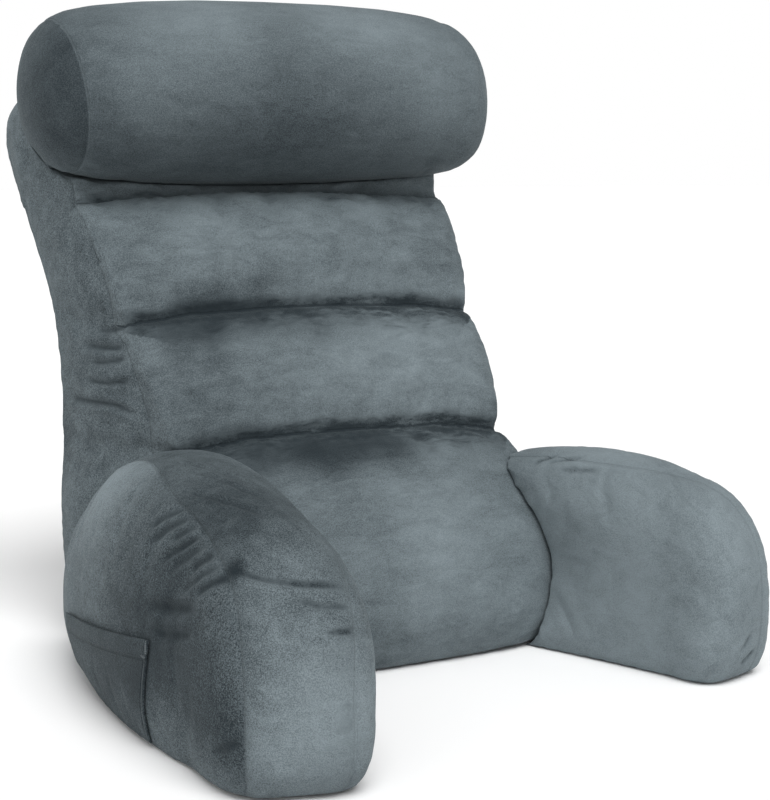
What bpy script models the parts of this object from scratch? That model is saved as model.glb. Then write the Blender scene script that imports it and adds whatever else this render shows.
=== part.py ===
"""Reading pillow with arms: a channelled back cushion, two arms, a neck roll and a side pocket.

Metres, +Z up. The pillow stands on its flat base and faces -Y. The origin is the middle of the
back cushion's flat base. Every cushion is one filled solid; the pocket is a patch of cloth.
"""

import math

import bmesh
import bpy
from mathutils import Vector

CM = 0.01
GAP = 0.0003          # what neighbouring pieces keep between them
CUT_SWELL = 2 * GAP   # a cutter's swell along its normals, which leaves that gap at its corners
BASE_SHIFT = 12.5     # cm from the foot of the back's front to the middle of its base

# ---------------------------------------------------------------- back cushion
# One row for each level of the back, from the floor up, in cm. y is measured from the foot of the
# front; half_front and half_rear are half widths at the front and rear seams, and puff is how far
# the side swells between those seams.
BACK_COLUMNS = ("front_y", "front_z", "rear_y", "rear_z", "half_front", "half_rear", "puff")
BACK_LEVELS = (
    (1.6, 0.0, 23.0, 0.0, 14.4, 18.2, 0.6),      # flat base
    (1.6, 3.0, 25.6, 3.4, 15.6, 20.2, 0.8),      # swell above the base
    (3.2, 9.0, 26.2, 9.5, 16.6, 20.6, 0.8),
    (9.2, 18.1, 25.8, 18.6, 16.4, 20.4, 0.6),    # groove under the lower channel
    (16.6, 28.8, 28.2, 29.4, 17.5, 20.5, 0.5),   # groove between the channels
    (24.3, 39.4, 34.8, 39.0, 19.0, 20.9, 0.5),   # groove over the upper channel
    (29.2, 45.4, 38.6, 44.2, 19.4, 21.0, 0.4),
    (31.6, 48.4, 39.4, 47.6, 19.0, 20.4, 0.2),
    (33.6, 50.0, 38.2, 50.2, 17.6, 18.8, 0.0),   # top edge
)
LUMBAR_LEVELS = 3     # levels that the lumbar panel spans, below the first groove
CHANNEL_LEVELS = 2    # one level for each channel above it
LUMBAR_STEPS = 12
LUMBAR_START = 0.08   # share of a half turn that the lumbar panel's swell begins at, on the floor
CHANNEL_STEPS = 9
TOP_STEPS = 8
BASE_SWELL = 0.12     # and the share of the full swell that it has there
CHANNEL_ROUNDNESS = 0.45
LUMBAR_CROWN = 2.6    # how far the middle of a panel comes forward of its seam
CHANNEL_CROWN = 1.6
TOP_CROWN = 1.0
REAR_CROWN = 1.2
LUMBAR_SWELL = 3.0    # how far the front seam comes forward at the middle of the lumbar panel
CHANNEL_SWELL = 1.5   # and at the middle of a channel
SIDE_SWELL = 0.7      # and how far it goes out sideways there
GROOVE_ARCH = 1.1     # how much higher the middle of a groove lies than its ends
FRONT_FLATNESS = 2.6  # exponents of the swell across the front and the rear
REAR_FLATNESS = 3.0
FACE_ROUNDNESS = 0.6
FRONT_POINTS = 20
SIDE_POINTS = 6
REAR_POINTS = 12
EDGE_CROWDING = 0.12
NEARBY = 0.05         # step along the levels over which a slope is taken
LEAST_HEIGHT = 0.05   # cm that everything over the flat base keeps above the floor

# ---------------------------------------------------------------- arms
# One row for each section of an arm, from inside the back forwards, in cm. The section stands on
# the line from its inner to its outer foot; low and top are its lowest and highest point, and a
# low below the floor gives it a flat foot there. waist is how far the inner side is drawn in at
# half its height. The nose goes on from the last row.
ARM_COLUMNS = ("inner_x", "inner_y", "outer_x", "outer_y", "low", "top", "waist")
ARM_SECTIONS = (
    (9.0, 19.6, 21.4, 20.4, 3.0, 6.6, 0.0),
    (9.0, 18.4, 22.4, 19.0, 0.4, 9.6, 0.0),
    (9.0, 16.0, 23.4, 16.6, -0.8, 12.9, 1.0),
    (9.2, 12.0, 24.8, 12.4, -1.2, 16.2, 2.0),
    (9.8, 7.4, 26.2, 7.2, -1.4, 18.6, 2.8),
    (11.2, 0.8, 27.6, 1.6, -1.5, 20.0, 3.0),
    (13.2, -6.6, 28.4, -4.8, -1.5, 20.4, 2.0),
    (15.1, -14.0, 28.6, -11.4, -1.5, 20.0, 0.6),
    (16.8, -21.2, 28.2, -17.8, -1.4, 18.9, 0.0),
)
NOSE_MIDDLE = 7.6     # height that the nose draws in towards
NOSE_OVER = 2.3       # exponents of its superellipse: over the top, under, and across
NOSE_UNDER = 3.0
NOSE_ACROSS = 3.4
NOSE_RINGS = 10
NOSE_END = 0.4        # share of a ring's step that the last ring stays short of the very tip
NOSE_LEAD = 0.5       # how far back along the sections the nose takes its direction from
ARM_STEPS = 3         # rings from one section to the next
ARM_POINTS = 30       # points round each ring
ROUND_OVER = 2.6      # exponents of the section's superellipse: its upper and its lower half
ROUND_UNDER = 4.0
# side is the arm's sign on X; reach, rise and girth scale its length, height and width; nose is
# the length of its rounded end, cm.
ARMS = {
    "arm_left": {"side": -1, "reach": 1.0, "rise": 1.0, "girth": 1.0, "nose": 9.8},
    "arm_right": {"side": 1, "reach": 0.74, "rise": 0.87, "girth": 0.82, "nose": 6.2},
}

# ---------------------------------------------------------------- neck roll
ROLL_RADIUS = 8.45
ROLL_X = 0.3
ROLL_Y = 25.8
ROLL_Z = 49.6
ROLL_TILT = 0.5       # degrees
# (distance from the roll's middle, share of its radius), from the middle to the end's centre
ROLL_PROFILE = (
    (0.0, 1.0), (7.0, 0.992), (12.5, 0.965), (17.0, 0.915), (19.8, 0.85),
    (21.2, 0.77), (22.4, 0.61), (23.1, 0.4), (23.4, 0.2), (23.5, 0.0),
)
ROLL_SIDES = 36

# ---------------------------------------------------------------- pocket
# It lies on the left arm's outer side, between two places along the arm.
POCKET_THICK = 0.0022
POCKET_REAR = 3.7     # in sections of the arm
POCKET_FRONT = 7.25
POCKET_FOOT = 0.5     # height of its bottom edge, cm
POCKET_HEM_REAR = 6.2   # height of its hem at either end, cm
POCKET_HEM_FRONT = 8.8
POCKET_GRID = (12, 6)   # faces along it and up it

VELVET = (0.133, 0.165, 0.176, 1.0)
VELVET_ROUGHNESS = 0.9


def clear_scene():
    for obj in list(bpy.data.objects):
        bpy.data.objects.remove(obj)


def new_collection(name):
    made = bpy.data.collections.new(name)
    bpy.context.scene.collection.children.link(made)
    return made


def velvet_for(piece):
    made = bpy.data.materials.new(piece + "_velvet")
    made.use_nodes = True
    shader = made.node_tree.nodes["Principled BSDF"]
    shader.inputs["Base Color"].default_value = VELVET
    shader.inputs["Roughness"].default_value = VELVET_ROUGHNESS
    shader.inputs["Metallic"].default_value = 0.0
    return made


def smooth_between(rows, place):
    """The row at a fractional place in a table, on a Catmull-Rom curve through its rows."""
    last = len(rows) - 1
    start = min(int(place), last - 1)
    t = place - start
    before, a, b, after = (rows[min(max(start + k, 0), last)] for k in (-1, 0, 1, 2))
    return [
        p1 + 0.5 * t * (p2 - p0 + t * (2 * p0 - 5 * p1 + 4 * p2 - p3 + t * (3 * (p1 - p2) + p3 - p0)))
        for p0, p1, p2, p3 in zip(before, a, b, after)
    ]


def loft(name, rings, collection):
    """A closed solid through rings of equal length, with a face across each end."""
    mesh = bmesh.new()
    loops = [[mesh.verts.new(point) for point in ring] for ring in rings]
    for lower, upper in zip(loops, loops[1:]):
        for k in range(len(lower)):
            after = (k + 1) % len(lower)
            mesh.faces.new((lower[k], lower[after], upper[after], upper[k]))
    mesh.faces.new(list(reversed(loops[0])))
    mesh.faces.new(loops[-1])
    bmesh.ops.recalc_face_normals(mesh, faces=mesh.faces)
    return finish(name, mesh, collection)


def finish(name, mesh, collection):
    data = bpy.data.meshes.new(name)
    mesh.to_mesh(data)
    mesh.free()
    obj = bpy.data.objects.new(name, data)
    collection.objects.link(obj)
    obj.data.materials.append(velvet_for(name))
    data.shade_smooth()
    data.set_sharp_from_angle(angle=math.radians(50))
    return obj


def as_cutter(cutter):
    """Swells a copy of a solid by the gap, so that what it cuts keeps clear of the solid."""
    cutter.hide_render = True
    cutter.display_type = "WIRE"
    swell = cutter.modifiers.new("gap", "DISPLACE")
    swell.strength = CUT_SWELL
    swell.mid_level = 0.0
    return cutter


def cut_with(obj, cutter):
    modifier = obj.modifiers.new("cut_" + cutter.name, "BOOLEAN")
    modifier.operation = "DIFFERENCE"
    modifier.object = cutter


# ---------------------------------------------------------------- back cushion
def level_places():
    """(place in BACK_LEVELS, crown, seam swell, share of both there) for each ring of the back."""
    places = [(0.0, LUMBAR_CROWN, LUMBAR_SWELL, BASE_SWELL)]
    start = (1 - math.cos(math.pi * LUMBAR_START)) / 2
    for k in range(1, LUMBAR_STEPS + 1):
        turn = LUMBAR_START + (1 - LUMBAR_START) * k / LUMBAR_STEPS
        t = (1 - math.cos(math.pi * turn)) / 2
        share = (t - start) / (1 - start)
        places.append((share * LUMBAR_LEVELS, LUMBAR_CROWN, LUMBAR_SWELL, bulge(t)))
    for channel in range(CHANNEL_LEVELS):
        for k in range(1, CHANNEL_STEPS + 1):
            t = (1 - math.cos(math.pi * k / CHANNEL_STEPS)) / 2
            places.append((LUMBAR_LEVELS + channel + t, CHANNEL_CROWN, CHANNEL_SWELL, bulge(t)))
    first = LUMBAR_LEVELS + CHANNEL_LEVELS
    span = len(BACK_LEVELS) - 1 - first
    for k in range(1, TOP_STEPS + 1):
        t = k / TOP_STEPS
        places.append((first + t * span, TOP_CROWN, CHANNEL_SWELL, bulge(t)))
    return places


def bulge(t):
    """Height of a filled channel at a share t of the way across it, from 0 at its seams to 1."""
    return max(0.0, 1 - (2 * t - 1) ** 2) ** CHANNEL_ROUNDNESS


def spread(share):
    """From 1 at a share of 0 to -1 at a share of 1, with the points closer together at the ends."""
    return math.cos(math.pi * (EDGE_CROWDING + (1 - 2 * EDGE_CROWDING) * share)) / math.cos(
        math.pi * EDGE_CROWDING
    )


def back_ring(place, crown, seam_swell, fill):
    """One closed ring: across the front, back along the right side, across the rear, forward."""
    row = dict(zip(BACK_COLUMNS, smooth_between(BACK_LEVELS, place)))
    last = len(BACK_LEVELS) - 1
    ahead = dict(zip(BACK_COLUMNS, smooth_between(BACK_LEVELS, min(place + NEARBY, last))))
    behind = dict(zip(BACK_COLUMNS, smooth_between(BACK_LEVELS, max(place - NEARBY, 0.0))))

    def along(edge):
        run = ahead[edge + "_y"] - behind[edge + "_y"]
        rise = ahead[edge + "_z"] - behind[edge + "_z"]
        return Vector((0, run, rise)).normalized()

    front = Vector((0, row["front_y"] - BASE_SHIFT, row["front_z"]))
    rear = Vector((0, row["rear_y"] - BASE_SHIFT, row["rear_z"]))
    up = along("front")
    out_front = Vector((0, -up.z, up.y))
    up_rear = along("rear")
    out_rear = Vector((0, up_rear.z, -up_rear.y))
    arch = GROOVE_ARCH * min(1.0, place / LUMBAR_LEVELS, (last - place) / 2)
    half_front = row["half_front"] + SIDE_SWELL * fill
    front += out_front * seam_swell * fill
    ring = []
    for k in range(FRONT_POINTS):
        s = -spread(k / FRONT_POINTS)
        point = front + Vector((s * half_front, 0, 0))
        swell = (1 - abs(s) ** FRONT_FLATNESS) ** FACE_ROUNDNESS
        point += out_front * crown * swell * fill + up * arch * (1 - s * s)
        ring.append(point)
    for k in range(SIDE_POINTS):
        q = k / SIDE_POINTS
        point = front.lerp(rear, q)
        half = half_front + q * (row["half_rear"] - half_front)
        point.x = half + row["puff"] * math.sin(math.pi * q)
        ring.append(point)
    for k in range(REAR_POINTS):
        s = spread(k / REAR_POINTS)
        swell = (1 - abs(s) ** REAR_FLATNESS) ** FACE_ROUNDNESS
        point = rear + Vector((s * row["half_rear"], 0, 0))
        ring.append(point + out_rear * REAR_CROWN * swell * min(1.0, place))
    for k in range(SIDE_POINTS):
        q = 1 - k / SIDE_POINTS
        point = front.lerp(rear, q)
        half = half_front + q * (row["half_rear"] - half_front)
        point.x = -half - row["puff"] * math.sin(math.pi * q)
        ring.append(point)
    for point in ring:
        point.z = max(point.z, LEAST_HEIGHT) if place > 0 else 0.0
    return [point * CM for point in ring]


def make_back(name, collection):
    return loft(name, [back_ring(*place) for place in level_places()], collection)


# ---------------------------------------------------------------- arms
def arm_section(place, shape):
    """Middle, half width, lowest and highest point and waist of an arm's section, in cm."""
    last = len(ARM_SECTIONS) - 1
    row = dict(zip(ARM_COLUMNS, smooth_between(ARM_SECTIONS, min(place, last))))

    def foot(edge, columns=row):
        x, y = columns[edge + "_x"], columns[edge + "_y"]
        x = columns["inner_x"] + (x - columns["inner_x"]) * shape["girth"]
        y *= shape["reach"] if y < 0 else 1.0
        return Vector((shape["side"] * x, y, 0))

    middle = (foot("inner") + foot("outer")) / 2
    half = (foot("outer") - foot("inner")) / 2
    low, top, waist = row["low"], row["top"] * shape["rise"], row["waist"]
    t = max(0.0, place - last)
    if t > 0:
        before = dict(zip(ARM_COLUMNS, smooth_between(ARM_SECTIONS, last - NOSE_LEAD)))
        onward = middle - (foot("inner", before) + foot("outer", before)) / 2
        slope = (top - before["top"] * shape["rise"]) / onward.length
        centre = NOSE_MIDDLE * shape["rise"]
        reach = shape["nose"] * t
        middle += onward.normalized() * reach
        half *= (1 - t ** NOSE_ACROSS) ** (1 / NOSE_ACROSS)
        waist *= 1 - t
        top = centre + (top + slope * reach - centre) * (1 - t ** NOSE_OVER) ** (1 / NOSE_OVER)
        low = centre - (centre - low) * (1 - t ** NOSE_UNDER) ** (1 / NOSE_UNDER)
    middle.y -= BASE_SHIFT
    return middle, half, low, top, waist


def arm_ring(place, shape):
    """A superellipse over the section's foot line, cut flat at the floor."""
    middle, half, low, top, waist = arm_section(place, shape)
    ring = []
    for k in range(ARM_POINTS):
        across = math.cos(2 * math.pi * k / ARM_POINTS)
        upward = math.sin(2 * math.pi * k / ARM_POINTS)
        power = 2 / (ROUND_OVER if upward > 0 else ROUND_UNDER)
        point = middle + half * math.copysign(abs(across) ** power, across)
        rise = math.copysign(abs(upward) ** power, upward)
        point.z = max(0.0, (low + top) / 2 + (top - low) / 2 * rise)
        inward = max(0.0, -across) * math.sin(math.pi * min(1.0, point.z / top))
        point += half.normalized() * waist * inward
        ring.append(point * CM)
    return ring


def make_arm(name, shape, back_cutter, collection):
    last = len(ARM_SECTIONS) - 1
    places = [k / ARM_STEPS for k in range(last * ARM_STEPS + 1)]
    quarter = math.pi / 2 / (NOSE_RINGS + NOSE_END)
    places += [last + math.sin(quarter * k) for k in range(1, NOSE_RINGS + 1)]
    arm = loft(name, [arm_ring(place, shape) for place in places], collection)
    cut_with(arm, back_cutter)
    return arm


# ---------------------------------------------------------------- neck roll
def make_roll(name, collection):
    """The roll's profile, from its left end to its right, turned about its own axis."""
    mesh = bmesh.new()
    half = [(x, share * ROLL_RADIUS) for x, share in ROLL_PROFILE]
    profile = [(x, r) for x, r in reversed(half)] + [(-x, r) for x, r in half[1:]]
    points = [mesh.verts.new((r * CM, 0, x * CM)) for x, r in profile]
    for a, b in zip(points, points[1:]):
        mesh.edges.new((a, b))
    roll = finish(name, mesh, collection)
    screw = roll.modifiers.new("turn", "SCREW")
    screw.steps = ROLL_SIDES
    screw.render_steps = ROLL_SIDES
    screw.use_merge_vertices = True
    screw.merge_threshold = 0.0001
    roll.location = (ROLL_X * CM, (ROLL_Y - BASE_SHIFT) * CM, ROLL_Z * CM)
    roll.rotation_euler = (0, math.radians(90 - ROLL_TILT), 0)
    return roll


# ---------------------------------------------------------------- pocket
def make_pocket(name, shape, collection):
    """A patch of cloth on the arm's outer side, one gap clear of it."""
    mesh = bmesh.new()
    columns, rows = POCKET_GRID
    grid = []
    for k in range(columns + 1):
        share = k / columns
        place = POCKET_REAR + share * (POCKET_FRONT - POCKET_REAR)
        hem = POCKET_HEM_REAR + share * (POCKET_HEM_FRONT - POCKET_HEM_REAR)
        middle, half, low, top, _ = arm_section(place, shape)
        grid.append([])
        for j in range(rows + 1):
            z = POCKET_FOOT + (hem - POCKET_FOOT) * j / rows
            up = (2 * z - low - top) / (top - low)
            point = middle + half * (1 - abs(up) ** ROUND_UNDER) ** (1 / ROUND_UNDER)
            point.z = z
            grid[-1].append(mesh.verts.new(point * CM))
    for rear, fore in zip(grid, grid[1:]):
        for a, b, c, d in zip(rear, fore, fore[1:], rear[1:]):
            mesh.faces.new((a, b, c, d))
    mesh.normal_update()
    if sum((face.normal.x for face in mesh.faces)) * shape["side"] < 0:
        bmesh.ops.reverse_faces(mesh, faces=mesh.faces)
        mesh.normal_update()
    for vert in mesh.verts:
        vert.co += vert.normal * CUT_SWELL
    pocket = finish(name, mesh, collection)
    cloth = pocket.modifiers.new("cloth", "SOLIDIFY")
    cloth.thickness = POCKET_THICK
    cloth.offset = 1.0
    return pocket


def main():
    clear_scene()
    parts = new_collection("reading_pillow")
    cutters = new_collection("cutters")
    back_cutter = as_cutter(make_back("back_cutter", cutters))
    roll_cutter = as_cutter(make_roll("roll_cutter", cutters))
    back = make_back("back", parts)
    cut_with(back, roll_cutter)
    for name, shape in ARMS.items():
        make_arm(name, shape, back_cutter, parts)
    make_roll("neck_roll", parts)
    make_pocket("pocket", ARMS["arm_left"], parts)


main()
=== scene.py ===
# %% [markdown]
# # A reading pillow with arms, in slate velvet
# The real pillow is five sewn pieces: a back cushion stitched into channels, two arms, a neck roll
# and a flat pocket on the left arm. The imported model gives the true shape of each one, so every
# cushion here starts from its solid. It is turned into an even skin, puffed up like cloth over
# stuffing, and then gets what a sewing machine leaves: creases, seams, gathers and soft dents.

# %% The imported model
import math
import time

import bmesh
import bpy
import numpy as np
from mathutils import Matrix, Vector
from mathutils.bvhtree import BVHTree
from mathutils.kdtree import KDTree


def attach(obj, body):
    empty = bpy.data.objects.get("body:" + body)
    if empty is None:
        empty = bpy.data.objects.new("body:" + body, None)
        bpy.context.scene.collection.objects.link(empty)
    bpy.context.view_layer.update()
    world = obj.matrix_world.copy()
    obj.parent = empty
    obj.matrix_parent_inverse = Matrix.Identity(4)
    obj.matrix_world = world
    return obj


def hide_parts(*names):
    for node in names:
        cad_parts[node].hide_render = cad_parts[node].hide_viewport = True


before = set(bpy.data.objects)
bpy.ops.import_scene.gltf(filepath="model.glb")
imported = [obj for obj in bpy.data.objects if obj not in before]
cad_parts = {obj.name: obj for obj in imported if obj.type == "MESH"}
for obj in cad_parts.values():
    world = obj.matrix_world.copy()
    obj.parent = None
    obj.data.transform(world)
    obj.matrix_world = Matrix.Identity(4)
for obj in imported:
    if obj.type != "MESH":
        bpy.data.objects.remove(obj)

CM = 0.01
scene = bpy.context.scene
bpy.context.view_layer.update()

# %% [markdown]
# ## Camera, floor and light
# The camera comes first, because every later choice is judged through it. It stands low in front
# of the pillow, to its left, and looks slightly down. A long lens keeps the arms from
# looking stretched. Its focal length is measured in pixels of the picture, whose height stands
# for the 36 mm of the camera's sensor.

# %% Camera
PICTURE_HEIGHT = 800
FOCAL_PIXELS = 1831
AZIMUTH, ELEVATION = math.radians(30.27), math.radians(7.26)
CAMERA_PLACE = (-0.790, -1.462, 0.428)

camera = bpy.data.objects.new("camera", bpy.data.cameras.new("camera"))
scene.collection.objects.link(camera)
camera.data.sensor_width = 36
camera.data.lens = FOCAL_PIXELS / PICTURE_HEIGHT * camera.data.sensor_width
camera.location = CAMERA_PLACE
ahead = Vector((
    math.sin(AZIMUTH) * math.cos(ELEVATION),
    math.cos(AZIMUTH) * math.cos(ELEVATION),
    -math.sin(ELEVATION),
))
camera.rotation_mode = "QUATERNION"
camera.rotation_quaternion = ahead.to_track_quat("-Z", "Y")
scene.camera = camera
print("lens", round(camera.data.lens, 1), "mm")

# %% [markdown]
# The floor is one large pale sheet under an even white sky, so its far edge melts away. It lies
# a hair below the pillow's base, because two surfaces in the same place would flicker.

# %% Floor
FLOOR_REACH, FLOOR_DROP = 30, 0.0006    # metres from its middle to each side, and below the base

mesh = bmesh.new()
bmesh.ops.create_grid(mesh, x_segments=1, y_segments=1, size=FLOOR_REACH)
bmesh.ops.translate(mesh, verts=mesh.verts, vec=(0, 0, -FLOOR_DROP))
floor = bpy.data.objects.new("floor", bpy.data.meshes.new("floor"))
mesh.to_mesh(floor.data)
mesh.free()
scene.collection.objects.link(floor)
paper = bpy.data.materials.new("pale_floor")
paper.use_nodes = True
for name, value in (("Base Color", (0.9, 0.9, 0.9, 1)), ("Roughness", 0.9), ("Specular IOR Level", 0.1)):
    paper.node_tree.nodes["Principled BSDF"].inputs[name].default_value = value
floor.data.materials.append(paper)
print("the floor is", 2 * FLOOR_REACH, "m wide")

# %% [markdown]
# Studio light for soft goods is mostly a bright room, with one large lamp high in front that makes
# the tops pale and leaves the undersides dark. A weaker one beside the camera keeps the
# sides from going black. A sun with a wide angle stands for each, because it is as even over
# the floor as a huge softbox. The room is a white wall low down, to stand behind the pillow, and
# a dimmer ceiling, since light from everywhere would flatten the shapes.

# %% Lamps
KEY, FILL = 2.8, 0.8


def lamp(name, energy, spread, direction):
    """A sun. spread is its angle in degrees: the wider it is, the softer its shadows are."""
    light = bpy.data.objects.new(name, bpy.data.lights.new(name, "SUN"))
    light.data.energy = energy
    light.data.angle = math.radians(spread)
    light.rotation_mode = "QUATERNION"
    light.rotation_quaternion = Vector(direction).to_track_quat("-Z", "Y")
    scene.collection.objects.link(light)
    print(name, "lamp:", energy, "W/m2")


lamp("key", KEY, spread=40, direction=(0.10, 0.55, -0.83))
lamp("fill", FILL, spread=60, direction=(0.70, 0.65, -0.30))

# %% Room
WALL, CEILING = 1.0, 0.38              # how bright
WALL_TOP, CEILING_EDGE = 0.20, 0.35    # how high, as the upward part of a unit direction

room = bpy.data.worlds.new("room")
room.use_nodes = True
heading = room.node_tree.nodes.new("ShaderNodeSeparateXYZ")
fade = room.node_tree.nodes.new("ShaderNodeMapRange")
for name, value in (("From Min", WALL_TOP), ("From Max", CEILING_EDGE), ("To Min", WALL), ("To Max", CEILING)):
    fade.inputs[name].default_value = value
for start, end in (
    (room.node_tree.nodes.new("ShaderNodeTexCoord").outputs["Generated"], heading.inputs[0]),
    (heading.outputs["Z"], fade.inputs["Value"]),
    (fade.outputs["Result"], room.node_tree.nodes["Background"].inputs["Strength"]),
):
    room.node_tree.links.new(start, end)
room.node_tree.nodes["Background"].inputs["Color"].default_value = (1, 1, 1, 1)
scene.world = room
scene.view_settings.view_transform = "Standard"

# %% [markdown]
# ## Shader maths that reads as maths
# A velvet is built from sums and products of noise. Written node by node that is unreadable, so a
# small class wraps a socket, and adding or multiplying two of them adds the Math node.

# %% A value that adds its own Math nodes
class Value:
    """A socket in a material. Arithmetic on it adds Math nodes."""

    def __init__(self, finish, socket):
        self.finish, self.socket = finish, socket

    def maths(self, operation, *others):
        return self.finish.node("Math", {"operation": operation}, dict(enumerate(others)))

    def __add__(self, other):
        return self.maths("ADD", self, other)

    def __sub__(self, other):
        return self.maths("SUBTRACT", self, other)

    def __rsub__(self, other):
        return self.maths("SUBTRACT", other, self)

    def __mul__(self, other):
        return self.maths("MULTIPLY", self, other)

    __radd__, __rmul__ = __add__, __mul__

    def __abs__(self):
        return self.maths("ABSOLUTE", self)

    def between(self, low, high):
        """0 at or below low, 1 at or above high, and smooth between them."""
        return self.finish.node(
            "MapRange", {"interpolation_type": "SMOOTHSTEP"},
            {"Value": self, "From Min": low, "From Max": high},
        )


# %% A material and the one method that adds its nodes
class Finish:
    """A material with a Principled shader, and a method that adds any other node."""

    def __init__(self, name):
        self.material = bpy.data.materials.new(name)
        self.material.use_nodes = True
        self.tree = self.material.node_tree
        self.shader = self.tree.nodes["Principled BSDF"]

    def node(self, kind, settings=None, sockets=None, output=0):
        made = self.tree.nodes.new("ShaderNode" + kind)
        for name, value in (settings or {}).items():
            setattr(made, name, value)
        for name, value in (sockets or {}).items():
            self.feed(made.inputs[name], value)
        return Value(self, made.outputs[output])

    def feed(self, socket, value):
        if isinstance(value, Value):
            self.tree.links.new(value.socket, socket)
        else:
            socket.default_value = value

    def blend(self, share, first, second):
        """A colour that goes from first to second as share goes from 0 to 1."""
        return self.node("Mix", {"data_type": "RGBA"}, {0: share, 6: first, 7: second}, output=2)

    def noise(self, where, scale, detail=2.0, roughness=0.5, distortion=0.0):
        sockets = {"Vector": where, "Scale": scale, "Detail": detail, "Roughness": roughness, "Distortion": distortion}
        return self.node("TexNoise", {}, sockets)


# %% [markdown]
# ## The velvet
# This cloth is a short plush pile on a knitted ground. Four things make it read as velvet:
# a fine speckle where single tufts catch the light, cloudy patches where the pile was brushed
# one way or the other, darker bruises where it is crushed along seams, and a pale bloom at
# grazing angles. The first three are noise at three sizes, and the last is the shader's own sheen.
# Light and shade are painted into the colour as well: the bruises beside grooves and in folds are
# partly painted shade, and tables of places paint pale light and dark shade onto each cushion.
# A plain colour with a bump would look like felt or rubber.

# %% Velvet
DEEP_AND_SHADE = (0.013, 0.019, 0.023, 1)      # pile that stands up or is crushed, seen end on, and the painted shade beside grooves and in folds
BLOOM_AND_HIGHLIGHT = (0.200, 0.240, 0.258, 1)     # pile that lies over and shines, and the painted highlights
SHEEN_TINT = (0.62, 0.74, 0.78, 1)
CLOUDS, PATCHES, STROKES, FLECKS, TUFTS = 9.0, 26.0, 60.0, 720.0, 1250.0    # about as many to a metre


def velvet(name, combing, grain, cloudy=0.9):
    """combing stretches the streaks: below 1 along an axis makes them long that way. grain is how
    strong the speckle is, and cloudy how strong the patches are."""
    finish = Finish(name)
    here = finish.node("TexCoord", output=3)

    def read(attribute):
        noted = finish.node("Attribute", {"attribute_name": attribute}, output=1)
        parts = finish.node("SeparateXYZ", {}, {0: noted})
        return [Value(finish, parts.socket.node.outputs[k]) for k in range(3)]

    signed, along, across = read("seam")
    pull, crush_and_shade, stitched = read("seam_wear_and_shade")
    nap_and_light, crease_and_shade, rough = read("pile_painted_light_and_shade")

    # the patches and streaks, and the speckle of single tufts, which is coarser on rough pile
    cloud = finish.noise(here, CLOUDS, 4.0, 0.6, 0.5)
    combed = finish.node("Mapping", {}, {"Vector": here, "Scale": combing})
    stroke = finish.noise(combed, STROKES, 6.0, 0.72, 0.6)
    patch = finish.noise(combed, PATCHES, 5.0, 0.68, 1.0)
    tuft = finish.noise(here, TUFTS, 2.0, 0.6)
    fleck = finish.noise(here, FLECKS, 3.0, 0.65)
    speckle = (tuft + (fleck - tuft) * (rough * 0.35 + 0.2)).between(0.35, 0.65)
    sparkle = (speckle - 0.5) * grain * (rough * 0.7 + 1)

    # the colour: how far the pile lies over, with the painted light and shade of the tone tables,
    # and then where it is crushed, with painted shade beside the grooves and in the folds
    lie_and_light = (((cloud - 0.5) + (stroke - 0.5) * 0.9) * cloudy + sparkle * 0.30 + nap_and_light).between(-0.9, 0.9)
    colour_with_light_and_shade = finish.blend(lie_and_light, DEEP_AND_SHADE, BLOOM_AND_HIGHLIGHT)
    streaks = ((patch - 0.5) * 0.6 + (stroke - 0.5) * 1.1) * (0.6 + crush_and_shade * 0.9)
    uneven = streaks + sparkle * (crush_and_shade + crease_and_shade) * 0.24
    bruise_and_shade = (uneven + crush_and_shade * 0.68 + crease_and_shade * 0.42).between(0.14, 0.74)
    colour_with_light_and_shade = finish.blend(bruise_and_shade * 0.97, colour_with_light_and_shade, DEEP_AND_SHADE)

    # the stitched line: dark where stitched is above 0, and pale where it is below, which is a painted highlight along
    # the seam
    near = 1 - across.between(0.003, 0.006)
    line = (1 - abs(signed).between(0.0004, 0.0018)) * near
    colour_with_light_and_shade = finish.blend(line * stitched.between(0.0, 1.0) * 0.8, colour_with_light_and_shade, DEEP_AND_SHADE)
    colour_with_light_and_shade = finish.blend(line * (0 - stitched).between(0.0, 1.0) * 0.35, colour_with_light_and_shade, BLOOM_AND_HIGHLIGHT)
    finish.feed(finish.shader.inputs["Base Color"], colour_with_light_and_shade)
    finish.feed(finish.shader.inputs["Roughness"], 0.74 + cloud * 0.14)

    # the relief, with the small gathers that run away from a seam
    lane = finish.node("CombineXYZ", {}, {"X": along * 110.0, "Y": signed * 20.0})
    gather = finish.noise(lane, 1.0, 2.0, 0.55, 0.3) * pull * (1 - across.between(0.002, 0.022))
    height = speckle * (0.00012 * grain) + stroke * 0.0007 + patch * 0.0012 + gather * 0.0016 - line * 0.0008
    bump = finish.node("Bump", {}, {"Strength": 1.0, "Distance": 1.0, "Height": height})
    finish.feed(finish.shader.inputs["Normal"], bump)

    finish.feed(finish.shader.inputs["Sheen Weight"], 0.12)
    finish.feed(finish.shader.inputs["Sheen Roughness"], 0.42)
    finish.feed(finish.shader.inputs["Sheen Tint"], SHEEN_TINT)
    finish.feed(finish.shader.inputs["Specular IOR Level"], 0.12)
    return finish.material


across_velvet = velvet("velvet_brushed_across", (0.5, 1.3, 1.3), grain=1.4)
along_velvet = velvet("velvet_brushed_along", (1.3, 0.6, 1.1), grain=1.5)
plush_velvet = velvet("velvet_brushed_rough", (1.2, 0.7, 1.1), grain=2.0)
sleek_velvet = velvet("velvet_brushed_smooth", (0.5, 1.3, 1.3), grain=1.2, cloudy=0.5)
print("the velvet has", len(across_velvet.node_tree.nodes), "nodes")

# %% [markdown]
# ## From a solid to an even skin
# Cloth simulation needs small faces of one size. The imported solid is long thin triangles, so a
# copy of it is welded and rebuilt from little cubes, which is what a voxel remesh does.

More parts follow.
